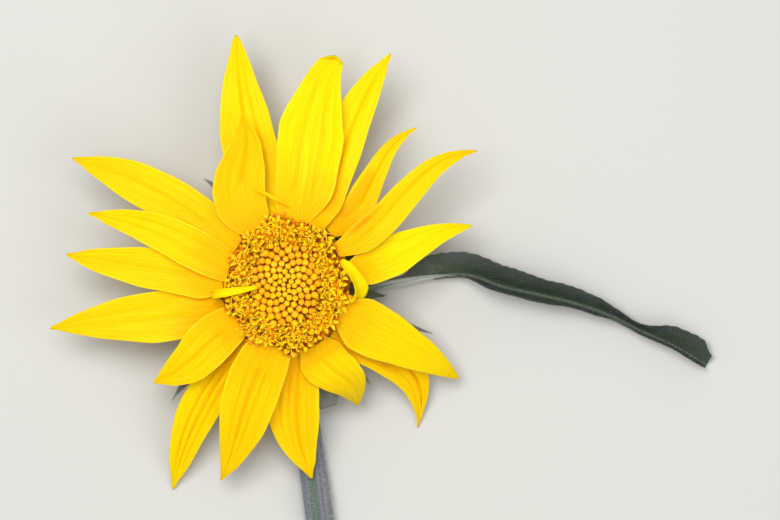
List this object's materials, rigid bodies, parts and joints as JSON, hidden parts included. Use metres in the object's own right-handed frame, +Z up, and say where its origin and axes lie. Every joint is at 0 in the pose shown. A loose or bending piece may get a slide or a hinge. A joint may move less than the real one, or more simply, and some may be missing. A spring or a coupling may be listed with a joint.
{
  "type": "cut sunflower bloom",
  "caption": "Cut sunflower bloom lying face up: disc of florets, ring of yellow ray petals, green bracts, a short bent stem and one folded leaf.",
  "frame": {"origin": "bottom centre of the bounding box, on the floor that the bloom lies on", "axes": "+Z up, the way the bloom faces; the stem runs towards -Y and the leaf towards +X; the top of the picture is +Y"},
  "size_m": [0.22, 0.1632, 0.0426],
  "materials": {
    "ray_yellow": "satin",
    "floret_gold": "matte",
    "bud_gold": "matte",
    "leaf_green": "matte",
    "bract_green": "matte",
    "stem_green": "matte"
  },
  "bodies": {
    "root": {"disc_buds": "bud_gold", "inner_bract_01": "bract_green", "inner_bract_02": "bract_green", "inner_bract_03": "bract_green", "inner_bract_04": "bract_green", "inner_bract_05": "bract_green", "inner_bract_06": "bract_green", "inner_bract_07": "bract_green", "inner_bract_08": "bract_green", "inner_bract_09": "bract_green", "inner_bract_10": "bract_green", "leaf_blade": "leaf_green", "leaf_stalk": "stem_green", "open_florets": "floret_gold", "outer_bract_01": "bract_green", "outer_bract_02": "bract_green", "outer_bract_03": "bract_green", "outer_bract_04": "bract_green", "outer_bract_05": "bract_green", "outer_bract_06": "bract_green", "outer_bract_07": "bract_green", "outer_bract_08": "bract_green", "outer_bract_09": "bract_green", "outer_bract_10": "bract_green", "outer_bract_11": "bract_green", "ray_01": "ray_yellow", "ray_02": "ray_yellow", "ray_03": "ray_yellow", "ray_04": "ray_yellow", "ray_05": "ray_yellow", "ray_06": "ray_yellow", "ray_07": "ray_yellow", "ray_08": "ray_yellow", "ray_09": "ray_yellow", "ray_10": "ray_yellow", "ray_11": "ray_yellow", "ray_12": "ray_yellow", "ray_13": "ray_yellow", "ray_14": "ray_yellow", "ray_15": "ray_yellow", "ray_16": "ray_yellow", "ray_17": "ray_yellow", "ray_18": "ray_yellow", "receptacle": "bract_green", "small_ray_01": "ray_yellow", "small_ray_02": "ray_yellow", "small_ray_03": "ray_yellow", "stem": "stem_green"}
  },
  "joints": []
}
